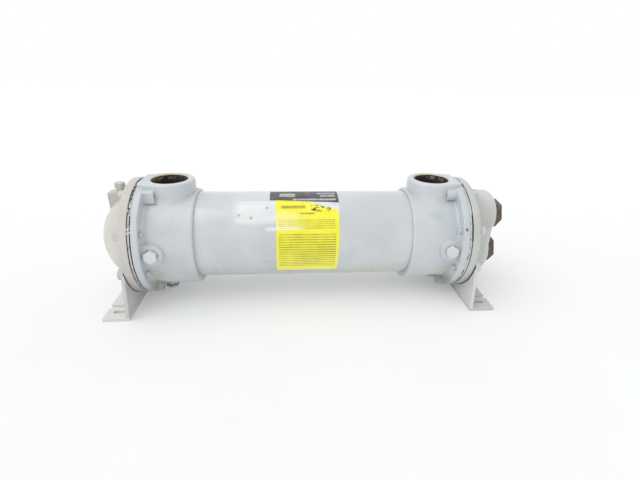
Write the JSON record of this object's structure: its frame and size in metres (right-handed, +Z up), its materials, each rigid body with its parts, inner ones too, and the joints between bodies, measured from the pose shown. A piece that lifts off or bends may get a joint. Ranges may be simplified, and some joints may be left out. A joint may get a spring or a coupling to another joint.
{
  "type": "shell and tube heat exchanger",
  "caption": "Horizontal shell and tube heat exchanger with cast hubs, round shell ports on top, a domed bonnet, a two pass bonnet with bushings, and angle brackets",
  "frame": {"origin": "On the floor at the centre of the four closed foot slots, midway between the two shell ports", "axes": "X along the shell, positive towards the two pass bonnet; Y across, negative towards the side with the labels; Z up, out of the shell ports"},
  "size_m": [0.7118, 0.218, 0.2122],
  "materials": {
    "paint": "glossy pale blue grey paint over cast iron and steel",
    "bonnet_paint": "satin warm grey paint over cast iron",
    "seal": "dark oily gasket edge",
    "sheet": "painted over plate edge",
    "bushing_iron": "bare taupe iron",
    "tube_metal": "dull copper alloy with oil film",
    "inner_steel": "oily steel",
    "yellow_label": "blank yellow sticker",
    "white_label": "blank white sticker",
    "name_plate": "blank dark plate"
  },
  "bodies": {
    "root": {"shell_tube": "paint", "left_hub": "paint", "right_hub": "paint", "left_hub_gasket": "seal", "right_hub_gasket": "seal", "left_tube_sheet": "sheet", "right_tube_sheet": "sheet", "left_bonnet_gasket": "seal", "right_bonnet_gasket": "seal", "left_bonnet": "bonnet_paint", "right_bonnet": "bonnet_paint", "left_bonnet_plug": "bonnet_paint", "upper_bushing": "bushing_iron", "lower_bushing": "bushing_iron", "left_bracket": "paint", "right_bracket": "paint", "left_front_plug": "paint", "left_rear_plug": "paint", "right_front_plug": "paint", "right_rear_plug": "paint", "left_drain_plug": "paint", "right_drain_plug": "paint", "upper_tubes": "tube_metal", "lower_tubes": "tube_metal", "upper_baffles": "inner_steel", "lower_baffles": "inner_steel", "tie_rods": "inner_steel"}
  },
  "joints": []
}
